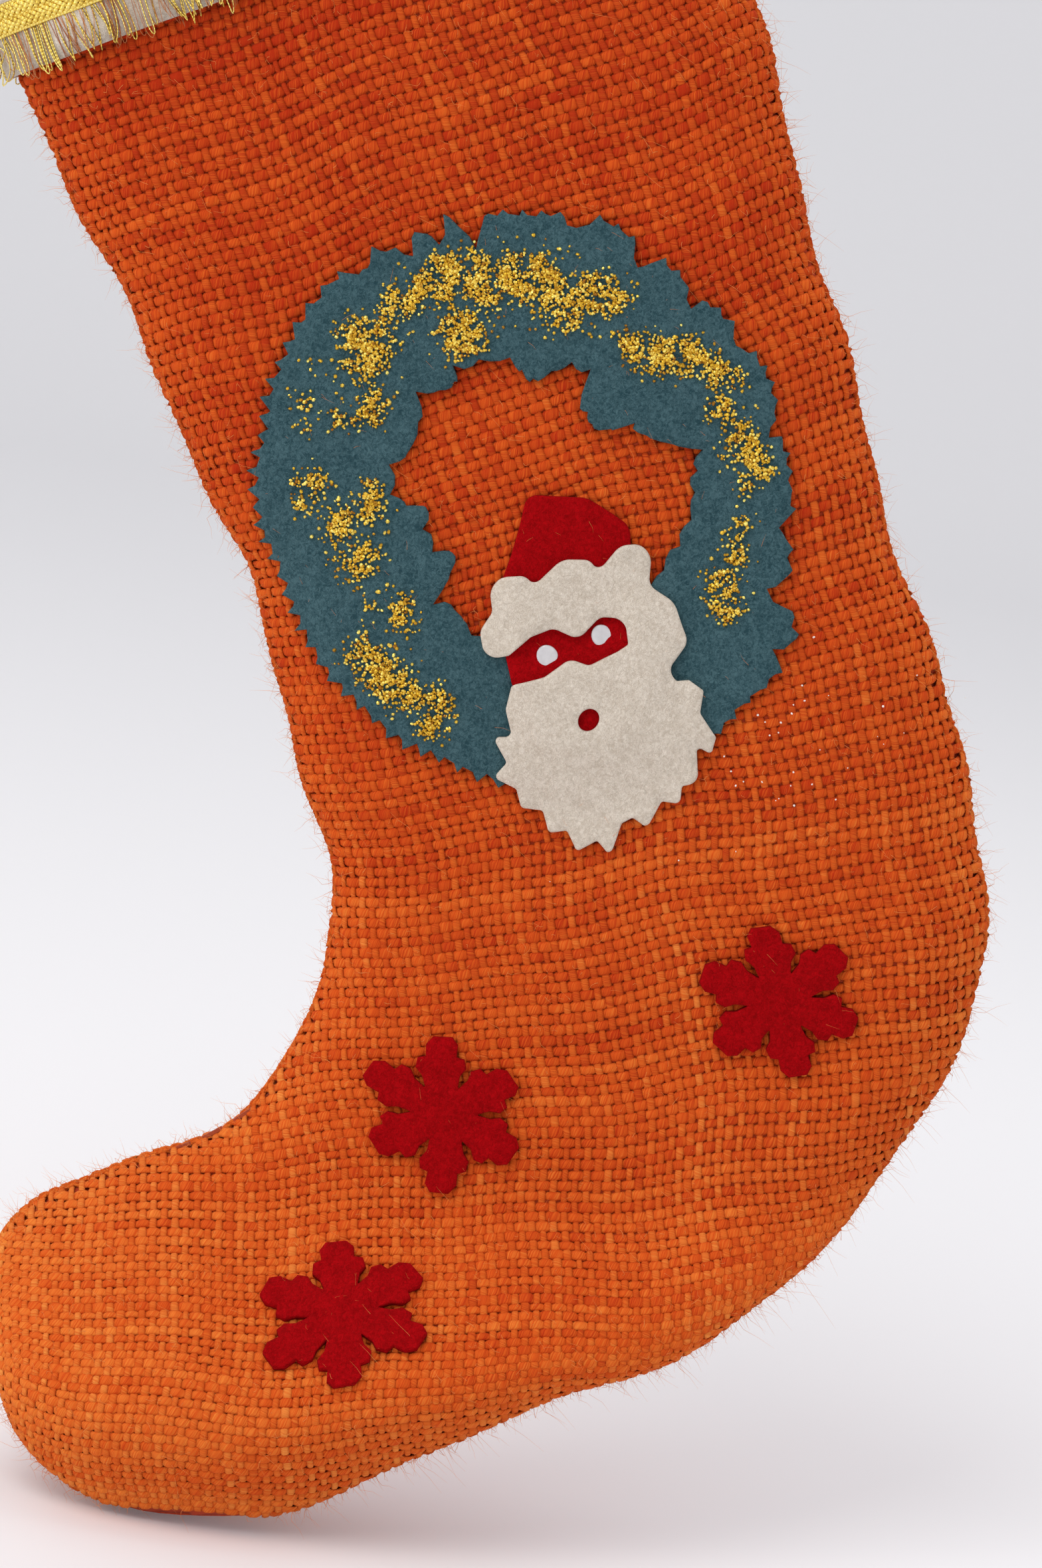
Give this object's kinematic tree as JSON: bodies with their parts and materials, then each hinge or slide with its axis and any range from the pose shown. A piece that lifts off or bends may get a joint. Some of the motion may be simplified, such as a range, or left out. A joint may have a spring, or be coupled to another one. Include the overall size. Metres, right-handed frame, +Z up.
{
  "type": "hanging stocking",
  "caption": "Burlap stocking bag with a felt cuff, braid and fringe, felt cut-outs of a wreath, a bearded face and snowflakes, and a tape loop to hang it by.",
  "frame": {"origin": "top of the inside of the loop's eye, where a hook bears", "axes": "+Z up, along the pull of the loop; -Y out of the decorated front; the toe points towards -X"},
  "size_m": [0.28, 0.059, 0.496],
  "materials": {
    "cream_tape": "matte felt tape",
    "cream_thread": "matte cotton thread",
    "orange_burlap": "coarse matte plain weave",
    "orange_thread": "matte cotton thread",
    "cream_felt": "matte felt",
    "gold_braid": "woven metallic thread",
    "gold_fringe": "loose metallic and copper thread",
    "teal_felt": "matte felt",
    "gold_glitter": "metallic grains in clear glue",
    "red_felt": "matte felt",
    "pearl": "glossy pearl white"
  },
  "bodies": {
    "loop": {"hanging_loop": "cream_tape"},
    "neck": {"loop_neck": "cream_tape"},
    "stocking": {"loop_tail": "cream_tape", "loop_stitches": "cream_thread", "front_panel": "orange_burlap", "back_panel": "orange_burlap", "seam_stitches": "orange_thread", "cuff_front": "cream_felt", "cuff_back": "cream_felt", "cuff_stitches": "cream_thread", "braid_front": "gold_braid", "braid_back": "gold_braid", "wreath": "teal_felt", "wreath_glitter": "gold_glitter", "cap_and_face": "red_felt", "brim_and_beard": "cream_felt", "eye_left": "pearl", "eye_right": "pearl", "snowflake_heel": "red_felt", "snowflake_ankle": "red_felt", "snowflake_toe": "red_felt"},
    "fringe_front_threads": {"fringe_front": "gold_fringe"},
    "fringe_back_threads": {"fringe_back": "gold_fringe"}
  },
  "joints": [
    {"name": "side_swing", "type": "hinge", "parent": "loop", "child": "neck", "pos_m": [0, 0, -0.0346], "axis": [0, 1, 0], "range_deg": [-60, 60]},
    {"name": "front_swing", "type": "hinge", "parent": "neck", "child": "stocking", "pos_m": [0, 0, -0.0426], "axis": [1, 0, 0], "range_deg": [-75, 25]},
    {"name": "fringe_front_lift", "type": "hinge", "parent": "stocking", "child": "fringe_front_threads", "pos_m": [-0.03454, -0.0147, -0.14794], "axis": [-0.8746, 0, -0.4848], "range_deg": [0, 85]},
    {"name": "fringe_back_lift", "type": "hinge", "parent": "stocking", "child": "fringe_back_threads", "pos_m": [-0.03454, 0.0147, -0.14794], "axis": [0.8746, 0, 0.4848], "range_deg": [0, 85]}
  ]
}
